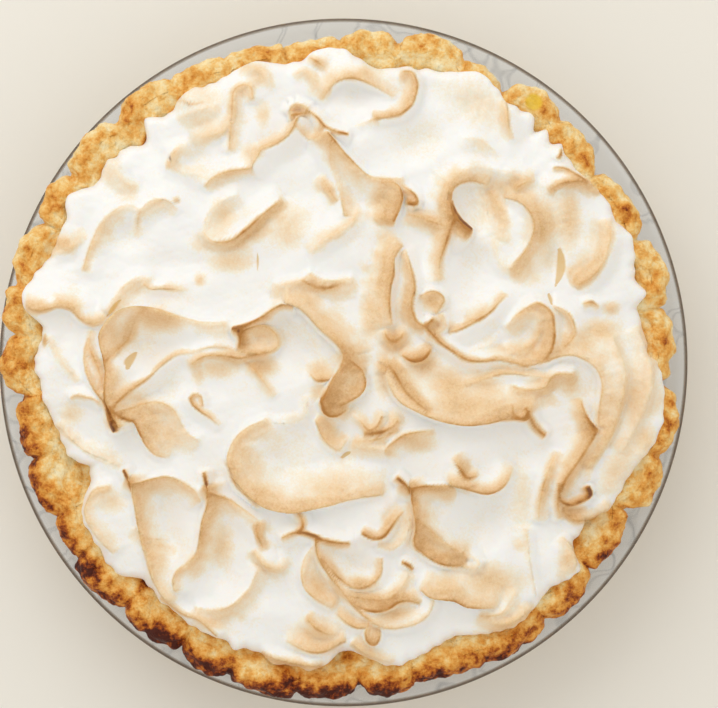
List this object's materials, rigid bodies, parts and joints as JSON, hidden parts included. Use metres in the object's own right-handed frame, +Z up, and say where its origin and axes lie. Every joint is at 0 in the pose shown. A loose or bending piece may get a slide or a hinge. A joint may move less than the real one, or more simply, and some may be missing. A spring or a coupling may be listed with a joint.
{
  "type": "lemon meringue pie",
  "caption": "Whole round pie in a clear glass dish: crimped pastry edge and a swirled, baked meringue topping.",
  "frame": {"origin": "middle of the dish's flat base", "axes": "+Z up, along the dish's axis; +Y away from a viewer who stands at the side with the deep lower swirls"},
  "size_m": [0.2376, 0.2376, 0.0664],
  "materials": {
    "glass": "clear pressed glass, smooth",
    "pastry": "baked golden pastry, dry and blistered, brown on the lobes",
    "meringue": "soft baked egg white, cream in the scoops and toasted tan on the ridges"
  },
  "bodies": {
    "root": {"glass_dish": "glass", "pastry_case": "pastry", "meringue": "meringue"}
  },
  "joints": []
}
